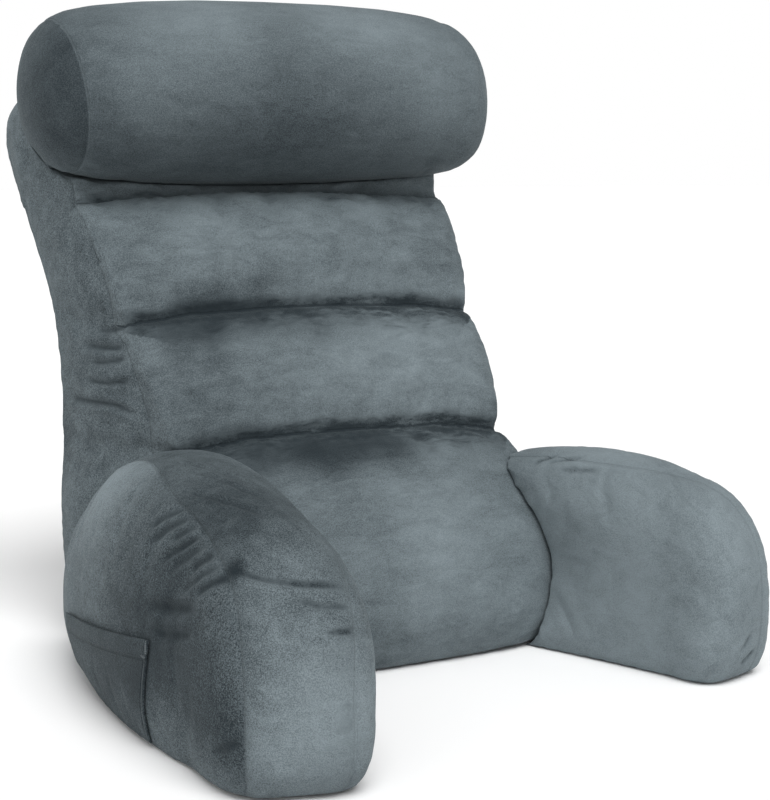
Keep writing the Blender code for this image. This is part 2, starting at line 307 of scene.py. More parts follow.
# %% Helpers that read and write a mesh's points
def points_of(piece):
    co = np.empty(len(piece.data.vertices) * 3, np.float32)
    piece.data.vertices.foreach_get("co", co)
    return co.reshape(-1, 3).astype(float)


def move_to(piece, points):
    piece.data.vertices.foreach_set("co", points.astype(np.float32).ravel())
    piece.data.update()


def outward(piece):
    normals = np.empty(len(piece.data.vertices) * 3, np.float32)
    piece.data.vertices.foreach_get("normal", normals)
    return normals.reshape(-1, 3).astype(float)


def apply_modifiers(piece):
    bpy.context.view_layer.update()
    ready = piece.evaluated_get(bpy.context.evaluated_depsgraph_get())
    shape = bpy.data.meshes.new_from_object(ready)
    piece.modifiers.clear()
    piece.data = shape


# %% An even skin over a solid
def skin_of(node, name, voxel):
    """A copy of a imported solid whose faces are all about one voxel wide."""
    piece = bpy.data.objects.new(name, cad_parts[node].data.copy())
    scene.collection.objects.link(piece)
    mesh = bmesh.new()
    mesh.from_mesh(piece.data)
    bmesh.ops.remove_doubles(mesh, verts=mesh.verts, dist=0.00002)
    mesh.to_mesh(piece.data)
    mesh.free()
    even = piece.modifiers.new("even", "REMESH")
    even.mode = "VOXEL"
    even.voxel_size = voxel
    apply_modifiers(piece)
    print(name, "has", len(piece.data.vertices), "points in its skin")
    return piece


# %% [markdown]
# ## Puffing a cushion up
# Stuffing pushes the cover out until its stitches hold it back. Blender's cloth does the same: the
# points near a seam are held, the cloth is cut a little larger than the shape, and air pressure
# fills it. The spare cloth has nowhere to go near a seam, and that is where real puckers come
# from. What the simulation adds is kept small, so that the cushion keeps its own outline.

# %% Values spread over a surface
def eased(piece, values, times):
    """Values that are averaged with their neighbours along the edges, several times over."""
    ends = np.empty(len(piece.data.edges) * 2, np.int32)
    piece.data.edges.foreach_get("vertices", ends)
    a, b, count = ends[::2], ends[1::2], len(values)
    share = 0.5 / np.bincount(ends, minlength=count)
    for _ in range(times):
        values = 0.5 * values + share * (np.bincount(a, values[b], count) + np.bincount(b, values[a], count))
    return values


# %% Cloth and stuffing
PRESSURE = 4.0
FRAMES = 20
BROAD = 120          # rounds of averaging, after which only the broad swell is left
KEPT_SWELL = 0.15    # the share of the broad swell that stays; the rest would change the outline
ON_FLOOR = 0.004     # metres; cloth below this height lies on the floor


def on_floor(piece):
    return points_of(piece)[:, 2] < ON_FLOOR


def puff_up(piece, held, spare, reach):
    """held is 1 where the cover is stitched down and 0 where it is free; spare is the share by
    which the cloth is cut larger; reach is how far a point may move, in metres."""
    before, out, start = points_of(piece), outward(piece), time.time()
    group = piece.vertex_groups.new(name="held")
    for index, weight in enumerate(held):
        if weight > 0.02:
            group.add([index], float(weight), "REPLACE")
    cloth = piece.modifiers.new("cover", "CLOTH")
    settings = cloth.settings
    settings.quality = 5
    settings.mass = 0.25
    settings.tension_stiffness = settings.compression_stiffness = 12
    settings.shear_stiffness = 4
    settings.bending_stiffness = 0.4
    settings.use_pressure = True
    settings.uniform_pressure_force = PRESSURE
    settings.shrink_min = -spare
    settings.effector_weights.gravity = 0
    settings.vertex_group_mass = "held"
    cloth.point_cache.frame_start, cloth.point_cache.frame_end = 1, FRAMES
    for number in range(1, FRAMES + 1):
        scene.frame_set(number)
    apply_modifiers(piece)
    moved = points_of(piece) - before
    lift = (moved * out).sum(1)
    moved -= out * (eased(piece, lift, BROAD) * (1 - KEPT_SWELL))[:, None]
    length = np.linalg.norm(moved, axis=1)
    moved *= (np.minimum(length, reach) / np.maximum(length, 1e-9))[:, None]
    move_to(piece, before + moved)
    scene.frame_set(1)
    print(piece.name, "puffed up by", round(float(lift.mean()) * 1000, 2), "mm on average and",
          round(float(length.max()) * 1000, 1), "mm at most, in", round(time.time() - start, 1), "s")


def soften(piece):
    """One subdivision, so that the surface has points for folds."""
    finer = piece.modifiers.new("finer", "SUBSURF")
    finer.levels = finer.render_levels = 1
    apply_modifiers(piece)
    piece.vertex_groups.clear()


# %% [markdown]
# ## Seams and folds
# Both are lines drawn on the skin. A line is a few places that are joined by a smooth curve
# and laid on the surface. A **seam** presses a narrow groove and remembers, at every
# point, how far across and along the seam it is, so that the velvet can draw the stitched line,
# the small gathers beside it and the painted shade along a groove. A **fold** is a wider dent with
# a rounded lip on both sides, and painted shade is laid in it.

# %% Lines on a surface
LEAST_STEP = 0.0008    # metres between two points of a line that is laid on a surface
NEARBY = 0.05          # metres from a line, past which its exact distance no longer matters


def smooth_between(rows, place):
    """The row at a fractional place in a table, on a Catmull-Rom curve through its rows."""
    last = len(rows) - 1
    start = min(int(place), last - 1)
    t = place - start
    before, a, b, after = (np.array(rows[min(max(start + k, 0), last)], float) for k in (-1, 0, 1, 2))
    cubic = 3 * (a - b) + after - before
    return a + 0.5 * t * (b - before + t * (2 * before - 5 * a + 4 * b - after + t * cubic))


def line_through(rows, step=0.002):
    """Points in metres every 2 mm or so on a smooth curve through rows in cm."""
    rows = np.array(rows, float) * CM
    fine = [smooth_between(rows, k / 20) for k in range(20 * (len(rows) - 1) + 1)]
    lengths = np.concatenate([[0], np.cumsum(np.linalg.norm(np.diff(fine, axis=0), axis=1))])
    marks = np.linspace(0, lengths[-1], max(3, int(lengths[-1] / step)))
    return np.stack([np.interp(marks, lengths, np.array(fine)[:, k]) for k in range(3)], 1)


def laid_on(line, surface):
    """The line's points moved to the surface; points that would fall together are dropped."""
    down = [np.array(surface.find_nearest(Vector(point))[0]) for point in line]
    kept = down[:1]
    for point in down[1:]:
        if np.linalg.norm(point - kept[-1]) > LEAST_STEP:
            kept.append(point)
    return np.array(kept)


def surface_of(*pieces):
    """A search tree over the pieces' faces."""
    points, faces = [], []
    for piece in pieces:
        first = len(points)
        points += [vert.co.copy() for vert in piece.data.vertices]
        faces += [[first + k for k in face.vertices] for face in piece.data.polygons]
    return BVHTree.FromPolygons(points, faces)


def distance_to(lines, points, limit):
    """For each point, which line is nearest, how far the point is across and along it, the step to it
    from there, and the line's direction there. A point beyond the limit counts as that far across."""
    samples, owner, run, heading = [], [], [], []
    for number, line in enumerate(lines):
        steps = np.linalg.norm(np.diff(line, axis=0), axis=1)
        run += list(np.concatenate([[0], np.cumsum(steps)]))
        heading += list(np.gradient(line, axis=0))
        owner += [number] * len(line)
        samples += list(line)
    tree = KDTree(len(samples))
    for index, sample in enumerate(samples):
        tree.insert(sample, index)
    tree.balance()
    found = [tree.find(point) for point in points]
    near = np.array([index for _, index, _ in found])
    samples, run, owner = np.array(samples), np.array(run), np.array(owner)
    heading = np.array(heading) / np.linalg.norm(heading, axis=1)[:, None]
    offset = points - samples[near]
    slip = (offset * heading[near]).sum(1)
    across = np.linalg.norm(offset - slip[:, None] * heading[near], axis=1)
    beyond = np.linalg.norm(offset, axis=1) > limit
    across[beyond] = limit
    return owner[near], across, run[near] + slip, offset, heading[near]


# %% Pressing seams into a cushion
NOTED = 0.09                 # how far from a seam, in metres, the velvet still knows of it
GROOVE_PULL = 0.5            # a seam that pulls harder than this is a groove between channels
GROOVE_END = 0.025           # metres over which a groove dies away at its ends
DARK_BAND_REACH, DARK_BAND_WAVE = 0.017, 0.004
DARK_BAND_BELOW, DARK_BAND_ABOVE = 2.6, 0.6    # pile is pressed, and shade is painted, much further below a groove than above it
GATHER_HEIGHT, GATHER_WIDTH = 0.0011, 0.009


def seam_on(surface, rows, depth, width, pull, stitch_dark_and_highlight):
    """A seam through rows in cm. Its groove's depth and width are in metres. pull is how strongly
    the cloth gathers beside it, and the last value how dark its line is, or how pale below 0, which is a painted
    highlight along the seam."""
    return laid_on(line_through(rows), surface), depth, width, pull, stitch_dark_and_highlight


def stitched_down(piece, seams, width):
    """1 on a seam, and less the further from it."""
    _, across, _, _, _ = distance_to([seam[0] for seam in seams], points_of(piece), NEARBY)
    return np.exp(-(across / width) ** 2)


def note(piece, name, values):
    """Keeps three values at each point for the velvet to read."""
    layer = piece.data.attributes.new(name, "FLOAT_VECTOR", "POINT")
    layer.data.foreach_set("vector", values.astype(np.float32).ravel())


def ripple(along):
    """An uneven wave along a seam, from -1 to 1, with bumps 8 to 21 mm apart."""
    turns = 2 * math.pi * along
    return (np.sin(turns / 0.013) + 0.6 * np.sin(turns / 0.0083 + 1) + 0.8 * np.sin(turns / 0.021 + 2)) / 2.4


def press_seams(piece, seams):
    """Presses the seams that seam_on made, and notes for the velvet what each point is near."""
    points, out = points_of(piece), outward(piece)
    lines = [seam[0] for seam in seams]
    owner, across, along, offset, heading = distance_to(lines, points, NOTED)
    depth, width, pull, stitch_dark_and_highlight = (np.array([seam[k] for seam in seams])[owner] for k in (1, 2, 3, 4))
    lengths = np.array([np.linalg.norm(np.diff(line, axis=0), axis=1).sum() for line in lines])
    to_end = np.minimum(along, lengths[owner] - along)
    fade = np.where(pull > GROOVE_PULL, np.clip(to_end / GROOVE_END, 0, 1), 1)
    depth, pull = depth * fade, pull * fade
    side = np.where((np.cross(out, heading) * offset).sum(1) < 0, -1, 1)
    wave = ripple(along * 0.22)    # over four times as long as the gathers
    # the dark band beside a seam is pressed pile and painted shade; beside a groove it is the shade under the channel
    # that hangs over it
    reach = (DARK_BAND_REACH + DARK_BAND_WAVE * wave) * np.where(side < 0, DARK_BAND_BELOW, DARK_BAND_ABOVE)
    crush_and_shade = np.exp(-((across / reach) ** 1.6)) * pull
    note(piece, "seam", np.stack([side * across, along, across], 1))
    note(piece, "seam_wear_and_shade", np.stack([pull, crush_and_shade, stitch_dark_and_highlight], 1))
    beside = across / GATHER_WIDTH
    bulge = GATHER_HEIGHT * pull * ripple(along) * beside * np.exp(1 - beside)
    move_to(piece, points + out * (bulge - depth * np.exp(-((across / width) ** 1.4)))[:, None])
    print(piece.name, "has", len(seams), "seams,", round(float(lengths.sum()), 2), "m in all")


SIDE_BLEND = 0.0015          # metres


def side_of(piece, line):
    """-1 on one side of a line, 1 on the other, and a blend of both close to it."""
    _, across, _, offset, heading = distance_to([line], points_of(piece), 1.0)
    side = np.sign((np.cross(outward(piece), heading) * offset).sum(1))
    return side * np.clip(across / SIDE_BLEND, 0, 1)


# %% Pressing folds into a cushion
FADE_SHARE = 0.3     # the share of a fold's length over which it dies away at each end


def press_folds(piece, folds):
    """folds is a list of (rows in cm, width and depth in mm). Returns how dark they are made: pressed velvet, and
    painted shade in the folds.
    """
    surface = surface_of(piece)
    points, out = points_of(piece), outward(piece)
    total, pressed_and_shaded = np.zeros(len(points)), np.zeros(len(points))
    for rows, width, depth in folds:
        line = laid_on(line_through(rows), surface)
        _, across, along, _, _ = distance_to([line], points, NEARBY)
        length = np.linalg.norm(np.diff(line, axis=0), axis=1).sum()
        fade = np.clip(np.minimum(along, length - along) / (FADE_SHARE * length) + 0.15, 0, 1)
        fade = fade * fade * (3 - 2 * fade)
        u = across / (width / 1000)
        dent, lip = np.exp(-(u ** 2)), np.exp(-((u - 1.7) ** 2) * 1.6)
        total += depth / 1000 * (dent - 0.45 * lip) * fade
        pressed_and_shaded = np.maximum(pressed_and_shaded, np.exp(-((u / 0.9) ** 2)) * fade * min(1, depth / 2))
    move_to(piece, points - out * total[:, None])
    print(piece.name, "has", len(folds), "folds")
    return pressed_and_shaded


# %% Fuller places
FOOT_FADE = 0.02     # metres above the floor, below which a fuller place dies away


def fill_out(piece, rows):
    """Each row is a place in cm, its radius, and by how many mm the stuffing bulges out there."""
    points, out = points_of(piece), outward(piece)
    for x, y, z, radius, lift in rows:
        away = np.linalg.norm(points / CM - (x, y, z), axis=1) / radius
        above_floor = np.clip(points[:, 2] / FOOT_FADE, 0, 1)
        points += out * (lift / 1000 * np.exp(-(away ** 2)) * above_floor)[:, None]
    move_to(piece, points)


# %% Brushed places, and painted light and shade
TONE_COLUMNS = ("side", "x", "y", "z", "radius", "tone")


def nap_and_light_of(piece, side, rows):
    """How pale the velvet is made: 0 is as it comes, and below 0 is darker. Each row is a round place, in cm.
    Some are patches where the velvet lies another way, and the others are painted light where light falls
    and painted shade where shade falls. A row's side is 0 for both sides of a seam, or -1 or 1 for one side only."""
    total = np.zeros(len(side))
    for row in rows:
        place = dict(zip(TONE_COLUMNS, row))
        away = np.linalg.norm(points_of(piece) / CM - [place[k] for k in "xyz"], axis=1) / place["radius"]
        share = 1 if place["side"] == 0 else 0.5 + 0.5 * place["side"] * side
        total += place["tone"] * np.exp(-(away ** 2)) * share
    return total


# %% Keeping a cushion clear of its neighbours and the floor
SEARCH = 0.03        # metres
KEPT_OFFSET = 0.05   # this share of a point's old offset keeps points that meet one edge apart


def keep_clear(piece, *neighbours, gap=0.0012):
    """Pushes points of the piece that lie inside a neighbour back out of it."""
    surface = surface_of(*neighbours)
    points = points_of(piece)
    pushed = 0
    for index, point in enumerate(points):
        near, normal, _, _ = surface.find_nearest(Vector(point), SEARCH)
        if near is None:
            continue
        offset = Vector(point) - near
        if offset.dot(normal) < gap:
            points[index] = np.array(near + normal * gap + offset * KEPT_OFFSET)
            pushed += 1
    points[:, 2] = np.maximum(points[:, 2], 0)
    move_to(piece, points)
    print(piece.name, "was pushed back at", pushed, "of", len(points), "points")


def finish_cushion(piece, node, cloth, nap_and_light, crease_and_shade, rough):
    """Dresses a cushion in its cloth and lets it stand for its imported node."""
    note(piece, "pile_painted_light_and_shade", np.stack([nap_and_light, crease_and_shade, rough], 1))
    piece.data.materials.clear()
    piece.data.materials.append(cloth)
    piece.data.shade_smooth()
    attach(piece, "root")
    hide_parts(node)


# %% [markdown]
# ## The back cushion
# It is one stuffed cover whose front is stitched across into channels: a tall lumbar panel below
# and two channels above it, with a head channel behind the roll. A strip of cloth runs
# all round between the front and the rear panel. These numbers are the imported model's own, one
# row for each level, because the seams have to lie exactly on its corners and grooves.

# %% The back's levels
BACK_COLUMNS = ("front_y", "front_z", "rear_y", "rear_z", "half_front", "half_rear")    # all in cm
BACK_LEVELS = (
    (-10.9, 0.0, 10.5, 0.0, 14.4, 18.2),
    (-10.9, 3.0, 13.1, 3.4, 15.6, 20.2),
    (-9.3, 9.0, 13.7, 9.5, 16.6, 20.6),
    (-3.3, 18.1, 13.3, 18.6, 16.4, 20.4),
    (4.1, 28.8, 15.7, 29.4, 17.5, 20.5),
    (11.8, 39.4, 22.3, 39.0, 19.0, 20.9),
    (16.7, 45.4, 26.1, 44.2, 19.4, 21.0),
    (19.1, 48.4, 26.9, 47.6, 19.0, 20.4),
    (21.1, 50.0, 25.7, 50.2, 17.6, 18.8),
)
GROOVES = (3, 4, 5)          # the levels at which the front is stitched across
GROOVE_ARCH = 1.1
CORNER_SPREAD = 0.7          # how far a full channel pushes the front seam sideways
LUMBAR_SWELL, CHANNEL_SWELL = 3.0, 1.5
OVERHANG, OVERHANG_FADE = 1.4, 0.62
TURNED_BACK = 1.6            # how far the front seam turns back, for each cm of its overhang


def level(place):
    return dict(zip(BACK_COLUMNS, smooth_between(BACK_LEVELS, place)))


def panel_fill(place):
    """How far the panel is filled at a place: 0 in a groove, 1 in the middle of a channel."""
    low = max([0] + [g for g in GROOVES if g <= place])
    high = min([len(BACK_LEVELS) - 1] + [g for g in GROOVES if g > place])
    return max(0.0, 1 - (2 * (place - low) / (high - low) - 1) ** 2) ** 0.45


def seam_overhang(place):
    """How far the front seam is pulled out past the panel's corner: most beside the lumbar panel."""
    return min(OVERHANG, max(0.0, OVERHANG - OVERHANG_FADE * (place - GROOVES[0])))


def back_corner(edge, side, place):
    """A point on the seam between the side strip and the front or rear panel."""
    row = level(place)
    fill, over = (panel_fill(place), seam_overhang(place)) if edge == "front" else (0.0, 0.0)
    swell = LUMBAR_SWELL if place < GROOVES[0] else CHANNEL_SWELL
    return (
        side * (row["half_" + edge] + CORNER_SPREAD * fill + over),
        row[edge + "_y"] - swell * 0.85 * fill + TURNED_BACK * over,
        row[edge + "_z"] + swell * 0.5 * fill,
    )


def groove_line(place):
    """A groove across the front, from seam to seam. It arches, and its ends turn back at the corners."""
    row = level(place)
    half, y, z, over = row["half_front"], row["front_y"], row["front_z"], seam_overhang(place)
    arch = [(s * half, y, z + GROOVE_ARCH * (1 - s * s)) for s in np.linspace(-1, 1, 9)]
    left, right = ((side * (half + over), y + TURNED_BACK * over, z) for side in (-1, 1))
    return [left] + arch + [right]


# %% The back's seams
SEAM_PLACES = [0.2 + 0.2 * k for k in range(39)]    # from just above the base to just below the top
SEAM_WIDTH, GROOVE_DEPTH, GROOVE_WIDTH = 0.0035, 0.0055, 0.0045
TOP_SEAM = ((-16.5, 21.3, 50.3), (-8, 21.0, 50.6), (0, 21.0, 50.6), (8, 21.0, 50.6), (16.5, 21.3, 50.3))

back = skin_of("back", "back_cushion", voxel=0.0058)
back_surface = surface_of(back)
back_seams = []
for side in (-1, 1):
    for edge, depth, pull, stitch_dark_and_highlight in (("front", 0.0018, 0.12, 0.3), ("rear", 0.0015, 0.1, 0.2)):
        rows = [back_corner(edge, side, place) for place in SEAM_PLACES]
        back_seams.append(seam_on(back_surface, rows, depth, SEAM_WIDTH, pull, stitch_dark_and_highlight))
for place in GROOVES:
    pull = 0.7 if place == GROOVES[-1] else 1.0
    back_seams.append(seam_on(back_surface, groove_line(place), GROOVE_DEPTH, GROOVE_WIDTH, pull, stitch_dark_and_highlight=pull))
back_seams.append(seam_on(back_surface, TOP_SEAM, 0.0015, SEAM_WIDTH, pull=0.3, stitch_dark_and_highlight=0.3))

# %% The back, stuffed
back_held = np.maximum(stitched_down(back, back_seams, 0.009), on_floor(back))
puff_up(back, back_held, spare=0.02, reach=0.008)
soften(back)

# %% The back's folds, brushed places, and painted light and shade
# Each fold starts at the front corner seam and runs back over the side strip: its places in cm,
# and then its width and depth in mm.
SIDE_FOLDS = (
    (((18.0, 4.0, 28.7), (18.7, 5.7, 28.5), (19.2, 7.5, 28.3)), 3.0, 2.4),
    (((18.1, 3.0, 27.1), (19.1, 5.7, 26.9), (19.8, 8.9, 26.9)), 4.0, 3.0),
    (((18.1, 2.6, 26.2), (19.2, 5.6, 25.6), (19.8, 7.6, 25.5)), 3.4, 2.4),
    (((18.1, 1.8, 24.4), (19.1, 4.6, 23.9), (19.7, 8.2, 23.9)), 2.8, 3.0),
    (((18.0, 0.5, 21.2), (18.9, 3.4, 22.0), (19.6, 7.0, 22.0), (20.2, 11.5, 21.9)), 3.2, 3.4),
)
# side, x, y, z, radius and tone. The dark places beside the two lower grooves are painted shade,
# and the pale place low on the lumbar panel is painted light
BACK_TONES_AND_LIGHT = (
    (0, 0, 0, 30, 99, -0.08),
    (-1, -12, -2, 24, 7, -0.16),
    (-1, 8, -3, 24, 8, 0.16),
    (-1, -9, 5, 36, 5, 0.06),
    (0, 4, -14, 9, 10, 0.22),
    (1, -20, 9, 25, 25, -0.18),
    (-1, -9.5, -6.9, 18.3, 2.4, -0.35),
    (-1, -5.0, -7.1, 18.5, 2.6, -0.60),
    (-1, -1.0, -7.1, 18.6, 2.6, -0.50),
    (-1, 3.0, -7.1, 18.5, 2.6, -0.60),
    (-1, -3.5, -8.9, 16.9, 2.0, -0.25),
    (-1, -14.0, 1.7, 28.3, 1.8, -0.18),
    (-1, -10.5, 1.5, 28.8, 1.8, -0.20),
    (-1, -6.0, 1.2, 29.0, 1.8, -0.18),
    (-1, -11.5, 4.0, 30.3, 1.8, -0.30),
    (-1, -8.5, 4.0, 30.6, 1.8, -0.30),
    (-1, -5.0, 4.0, 30.8, 1.8, -0.25),
    (-1, 4.0, -4.0, 25.0, 8.0, 0.10),
)
# x, y, z, radius and lift
BACK_FULLER = (
    (-20.5, 12.5, 13.0, 9.0, 5.0),
    (18.6, 13.0, 42.0, 4.0, 4.0),
)

# %% The back, finished
back_folds = [
    ([(side * x, y, z) for x, y, z in rows], width, depth)
    for side in (-1, 1) for rows, width, depth in SIDE_FOLDS
]
fill_out(back, BACK_FULLER)
back_crease_and_shade = press_folds(back, back_folds)
back_side = side_of(back, back_seams[0][0])
press_seams(back, back_seams)
keep_clear(back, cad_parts["neck_roll"])
back_nap_and_light = nap_and_light_of(back, back_side, BACK_TONES_AND_LIGHT)
back_rough = np.clip(2 * abs(outward(back)[:, 0]) - 1, 0, 1)    # 1 where the skin faces sideways
finish_cushion(back, "back", across_velvet, back_nap_and_light, back_crease_and_shade, back_rough)

# %% [markdown]
# ## The arms
# Each arm is a long stuffed tube that lies on the floor and ends in a rounded nose. Its outer and
# inner panels are joined by a strip that runs over the top and down the nose, so two
# seams follow the whole arm. On the near arm the outer seam is where the cloth gathers most.

# %% The arms' seams
# For each arm the seam nearer the camera comes first. It runs forward and then down the nose.
ARM_SEAMS = {
    "arm_left": (
        (
            (-22.0, -5.0, 18.5), (-23.4, -14.5, 19.8), (-25.7, -23.7, 19.0), (-26.2, -29.7, 17.7), (-26.9, -35.2, 15.6),
            (-27.3, -38.0, 12.6), (-27.5, -39.1, 8.3), (-27.4, -39.1, 3.6), (-27.2, -38.5, 0.5),
        ),
        (
            (-14.0, -5.0, 18.5), (-15.5, -14.5, 19.0), (-16.8, -23.7, 18.6), (-18.5, -33.0, 17.4), (-19.5, -38.5, 15.0),
            (-20.2, -41.5, 11.4), (-20.6, -42.1, 8.0), (-20.5, -42.2, 4.5), (-20.3, -41.5, 0.5),
        ),
    ),
    "arm_right": (
        (
            (14.4, -9.0, 16.8), (15.9, -15.0, 17.1), (17.4, -19.8, 17.1), (18.9, -23.1, 17.0), (21.0, -27.0, 16.3),
            (22.8, -29.8, 14.8), (23.8, -31.6, 12.2), (24.0, -32.5, 9.0), (24.0, -32.8, 5.0), (23.6, -32.0, 0.5),
        ),
        (
            (21.0, -5.0, 16.6), (23.5, -12.0, 16.0), (24.8, -18.0, 15.4), (25.4, -23.0, 14.2), (25.8, -27.0, 12.0),
            (25.8, -29.0, 8.0), (25.6, -29.0, 4.0), (25.3, -28.5, 0.5),
        ),
    ),
}
ARM_STITCH_DARK_AND_HIGHLIGHT = {"arm_left": (0.08, -0.3), "arm_right": (0.15, 0.1)}    # how dark each seam's line is; below 0 it is pale, a painted highlight
ARM_SEAM_DEPTH, ARM_SEAM_WIDTH, ARM_SEAM_PULL = 0.0010, 0.003, 0.3


# %% Folds on the arms
GATHERS = 8           # short folds that run from the near arm's outer seam, back and down
GATHER_FIRST, GATHER_LAST = (-25.9, -27.2, 18.5), (-26.8, -36.0, 15.3)
GATHER_RUN = (-1.8, 5.0, -2.9)


def gather_folds():
    """Short folds side by side. Sines vary their length, width and depth, so that no two are alike."""
    folds = []
    for k in range(GATHERS):
        start = np.array(GATHER_FIRST) + (np.array(GATHER_LAST) - GATHER_FIRST) * k / (GATHERS - 1)
        run = np.array(GATHER_RUN) * (0.75 + 0.25 * math.sin(2.3 * k))
        width, depth = 3.6 + 0.6 * math.sin(1.7 * k), 1.5 + 0.4 * math.sin(2.9 * k)
        folds.append(((tuple(start), tuple(start + run)), width, depth))
    return folds


ARM_FOLDS = {
    "arm_left": gather_folds() + [
        (((-26.7, -35.4, 15.7), (-25.3, -37.8, 15.3), (-23.2, -39.2, 15.0), (-20.1, -39.8, 14.5)), 3.2, 2.2),
        (((-22.4, -41.2, 11.9), (-20.2, -41.6, 11.9)), 1.8, 1.4),
        (((-24.0, -39.4, 14.0), (-22.0, -40.4, 13.5), (-20.0, -40.8, 13.4)), 2.6, 1.5),
        (((-22.9, -17.1, 20.2), (-21.1, -25.8, 19.9)), 2.6, 1.4),
        (((-23.1, -21.2, 20.1), (-21.7, -30.4, 19.2)), 2.6, 1.5),
        (((-25.2, -24.2, 19.3), (-22.7, -33.9, 18.4)), 2.8, 1.7),
        (((-28.0, -25.0, 11.2), (-28.4, -28.5, 11.7), (-28.1, -33.5, 12.6)), 4.6, 2.6),
        (((-28.5, -26.0, 9.4), (-28.4, -29.5, 9.9), (-28.3, -33.5, 10.8)), 4.0, 2.2),
        (((-28.2, -36.0, 3.2), (-27.5, -39.0, 4.6)), 4.0, 1.2),
    ],
    "arm_right": [
        (((14.2, -12.3, 16.1), (16.6, -14.2, 17.0)), 3.0, 1.4),
        (((14.9, -13.7, 16.6), (17.4, -17.0, 16.9)), 3.0, 1.2),
        (((15.1, -15.7, 16.1), (16.6, -19.6, 16.6)), 3.0, 1.2),
        (((21.5, -32.7, 1.6), (23.3, -32.5, 2.6)), 3.0, 1.4),
        (((20.8, -32.6, 2.8), (22.6, -32.9, 4.2)), 3.0, 1.0),
    ],
}

# %% Fuller places on the arms, brushed places, and painted light and shade
ARM_FULLER = {
    "arm_left": ((-26.5, -2.0, 5.0, 7.0, 7.0),),
    "arm_right": (),
}
ARM_ROUGH = {"arm_left": 0.7, "arm_right": 0.0}
# Among these, the pale places on the near arm's top rim and low front and on the far arm's inner side are painted
# light, and the dark places on the near arm's outer panel and in the dimple by its front seam are painted shade.
ARM_TONES_AND_LIGHT = {
    "arm_left": (
        (0, -25, -30, 10, 99, -0.10),
        (1, -23, -27, 20, 6, -0.22),
        (1, -22.5, -16, 20.5, 6, -0.34),
        (1, -25, -32, 18, 4, -0.20),
        (-1, -24.5, -9, 19.0, 5, 0.30),
        (-1, -26.5, -14, 17.0, 6, 0.16),
        (0, -29, -27, 10, 9, -0.66),
        (0, -28.5, -35, 8, 5, -0.30),
        (-1, -27.8, -38, 4.5, 3.5, -0.45),
        (0, -22, -42, 6, 6, 0.48),
        (1, -25.5, -40.5, 4, 3, 0.20),
        (-1, -26, -9, 19, 5, 0.25),
        (0, -26.5, -35.9, 15.6, 0.8, -0.80),
    ),
    "arm_right": (
        (0, 16, -22, 9, 16, 0.46),
    ),
}

# %% Making an arm
def make_arm(node, cloth, voxel):
    """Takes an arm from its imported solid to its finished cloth. The back has to be finished first."""
    arm = skin_of(node, node + "_cushion", voxel)
    surface = surface_of(arm)
    seams = [
        seam_on(surface, rows, ARM_SEAM_DEPTH, ARM_SEAM_WIDTH, ARM_SEAM_PULL, stitch_dark_and_highlight)
        for rows, stitch_dark_and_highlight in zip(ARM_SEAMS[node], ARM_STITCH_DARK_AND_HIGHLIGHT[node])
    ]
    held = np.maximum(stitched_down(arm, seams, 0.008), on_floor(arm))
    puff_up(arm, held, spare=0.006, reach=0.005)
    soften(arm)
    fill_out(arm, ARM_FULLER[node])
    crease_and_shade = press_folds(arm, ARM_FOLDS[node])
    side = side_of(arm, seams[0][0])
    press_seams(arm, seams)
    keep_clear(arm, back)
    rough = ARM_ROUGH[node] * np.clip(1 - side, 0, 1)    # on the outer panel, up to its seam
    finish_cushion(arm, node, cloth, nap_and_light_of(arm, side, ARM_TONES_AND_LIGHT[node]), crease_and_shade, rough)
    return arm


left_arm = make_arm("arm_left", plush_velvet, voxel=0.0042)
make_arm("arm_right", along_velvet, voxel=0.005)

# %% [markdown]
# ## The neck roll
# A bolster: one strip of velvet rolled round a core, and a domed cap sewn into each end. Each cap's
# seam is a ring that is worked out from the roll's middle, so that it stays round, and it is
# tipped a little, as a cap is that was sewn in by hand.

# %% Neck roll
ROLL_MIDDLE = (0.3, 13.3, 49.6)
ROLL_TILT = math.radians(0.5)
CAP_PLACE, CAP_LEAN, CAP_RADIUS = 20.5, 1.2, 7.2    # the caps are sewn in with a slight lean


def cap_seam(side):
    """The ring in which a cap is sewn in, at the left end for -1 and at the right for 1."""
    rows = []
    for turn in np.linspace(0, 2 * math.pi, 25):
        x = side * (CAP_PLACE + CAP_LEAN * math.sin(turn))
        rows.append((
            ROLL_MIDDLE[0] + x,
            ROLL_MIDDLE[1] + CAP_RADIUS * math.cos(turn),
            ROLL_MIDDLE[2] + x * math.tan(ROLL_TILT) + CAP_RADIUS * math.sin(turn),
        ))
    return rows


roll = skin_of("neck_roll", "neck_roll_cushion", voxel=0.005)
roll_surface = surface_of(roll)
# The caps' seams get a pale line, a painted highlight along the seam.
roll_seams = [
    seam_on(roll_surface, cap_seam(side), depth=0.0010, width=0.0028, pull=0.15, stitch_dark_and_highlight=-0.4) for side in (-1, 1)
]
puff_up(roll, stitched_down(roll, roll_seams, 0.008), spare=0.002, reach=0.003)
soften(roll)

